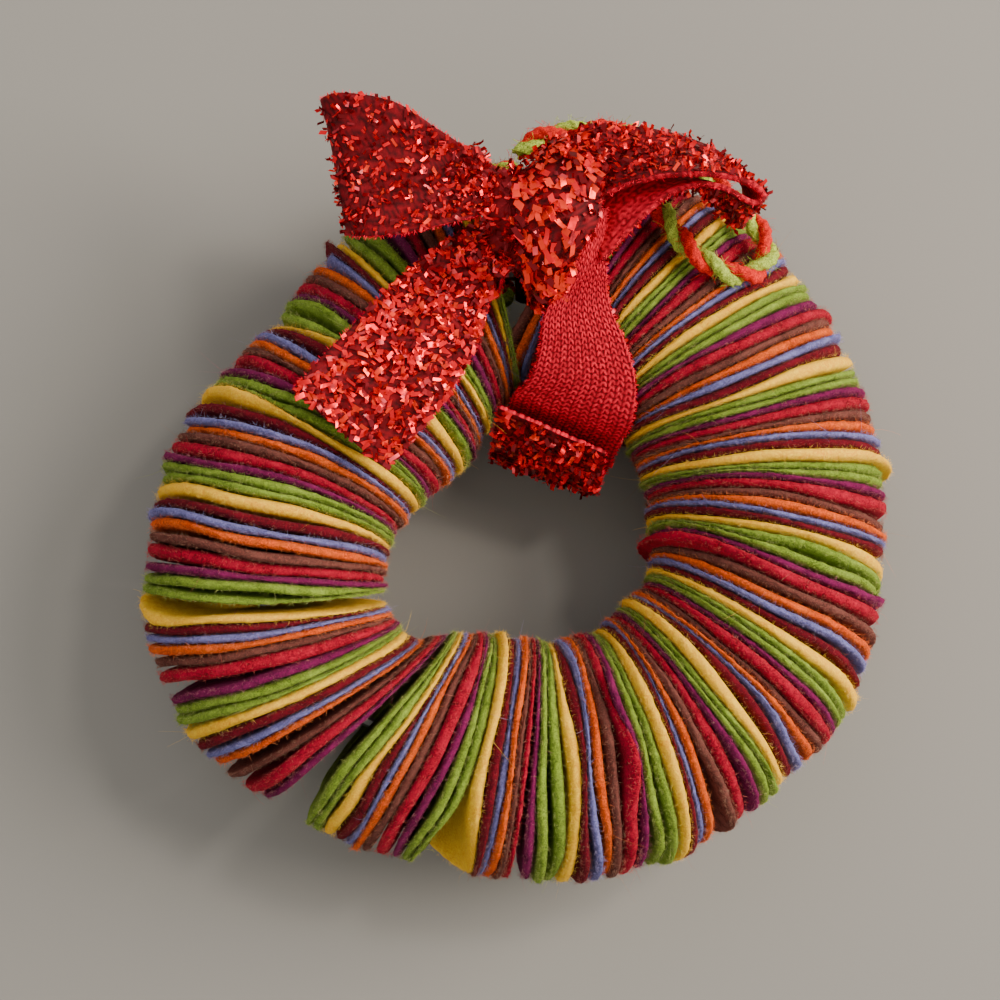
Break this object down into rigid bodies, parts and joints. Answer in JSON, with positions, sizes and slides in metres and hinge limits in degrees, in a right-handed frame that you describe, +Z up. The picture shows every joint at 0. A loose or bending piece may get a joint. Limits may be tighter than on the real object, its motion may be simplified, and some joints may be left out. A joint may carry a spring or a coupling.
{
  "type": "wreath ornament",
  "caption": "Small wreath of round wool felt discs threaded edge up on a wire ring, with a glitter ribbon bow tied at the top and a loop of twisted yarn to hang it by.",
  "frame": {"origin": "on the surface that the wreath lies on, under the middle of everything but the loose yarn loop", "axes": "+Z up from that surface, +Y towards the bow at the top of the wreath, +X to the right as seen from above"},
  "size_m": [0.0784, 0.0802, 0.0367],
  "materials": {
    "felt_yellow_to_orange": "matte felt",
    "felt_brown_to_green": "matte felt",
    "glitter_ribbon": "glitter",
    "yarn": "twisted yarn",
    "wire": "bright"
  },
  "bodies": {
    "wreath": {"felt_discs_01": "felt_brown_to_green", "felt_discs_02": "felt_yellow_to_orange", "felt_discs_03": "felt_brown_to_green", "felt_discs_04": "felt_yellow_to_orange", "felt_discs_05": "felt_brown_to_green", "felt_discs_06": "felt_yellow_to_orange", "felt_discs_07": "felt_brown_to_green", "felt_discs_08": "felt_yellow_to_orange", "felt_discs_09": "felt_brown_to_green", "felt_discs_10": "felt_yellow_to_orange", "felt_discs_11": "felt_brown_to_green", "felt_discs_12": "felt_yellow_to_orange", "felt_discs_13": "felt_brown_to_green", "felt_discs_14": "felt_yellow_to_orange", "felt_discs_15": "felt_brown_to_green", "felt_discs_16": "felt_yellow_to_orange", "felt_discs_17": "felt_brown_to_green", "felt_discs_18": "felt_yellow_to_orange", "felt_discs_19": "felt_brown_to_green", "felt_discs_20": "felt_yellow_to_orange", "felt_discs_21": "felt_brown_to_green", "felt_discs_22": "felt_brown_to_green", "felt_discs_23": "felt_yellow_to_orange", "felt_discs_24": "felt_brown_to_green", "felt_discs_25": "felt_yellow_to_orange", "felt_discs_26": "felt_brown_to_green", "felt_discs_27": "felt_yellow_to_orange", "felt_discs_28": "felt_brown_to_green", "felt_discs_29": "felt_yellow_to_orange", "felt_discs_30": "felt_brown_to_green", "felt_discs_31": "felt_yellow_to_orange", "felt_discs_32": "felt_brown_to_green", "felt_discs_33": "felt_yellow_to_orange", "felt_discs_34": "felt_brown_to_green", "felt_discs_35": "felt_yellow_to_orange", "felt_discs_36": "felt_brown_to_green", "felt_discs_37": "felt_brown_to_green", "felt_discs_38": "felt_yellow_to_orange", "felt_discs_39": "felt_brown_to_green", "felt_discs_40": "felt_yellow_to_orange", "felt_discs_41": "felt_brown_to_green", "wire_ring": "wire", "ribbon_round_wire": "glitter_ribbon", "bow_knot": "glitter_ribbon", "bow_loop_left": "glitter_ribbon", "bow_loop_right": "glitter_ribbon", "yarn_tie": "yarn"},
    "tail_left": {"bow_tail_left": "glitter_ribbon"},
    "tail_right": {"bow_tail_right": "glitter_ribbon"},
    "hanger": {"hanging_loop": "yarn"}
  },
  "joints": [
    {"name": "tail_left_lift", "type": "hinge", "parent": "wreath", "child": "tail_left", "pos_m": [-0.00197, 0.02526, 0.02765], "axis": [-0.3104, 0.9506, 0], "range_deg": [0, 60]},
    {"name": "tail_right_lift", "type": "hinge", "parent": "wreath", "child": "tail_right", "pos_m": [0.00553, 0.02163, 0.02788], "axis": [-0.9615, -0.2747, 0], "range_deg": [0, 60]},
    {"name": "hanging_loop_swing", "type": "hinge", "parent": "wreath", "child": "hanger", "pos_m": [-0.00137, 0.03357, 0.02155], "axis": [0, 0, 1], "range_deg": [0, 75]}
  ]
}
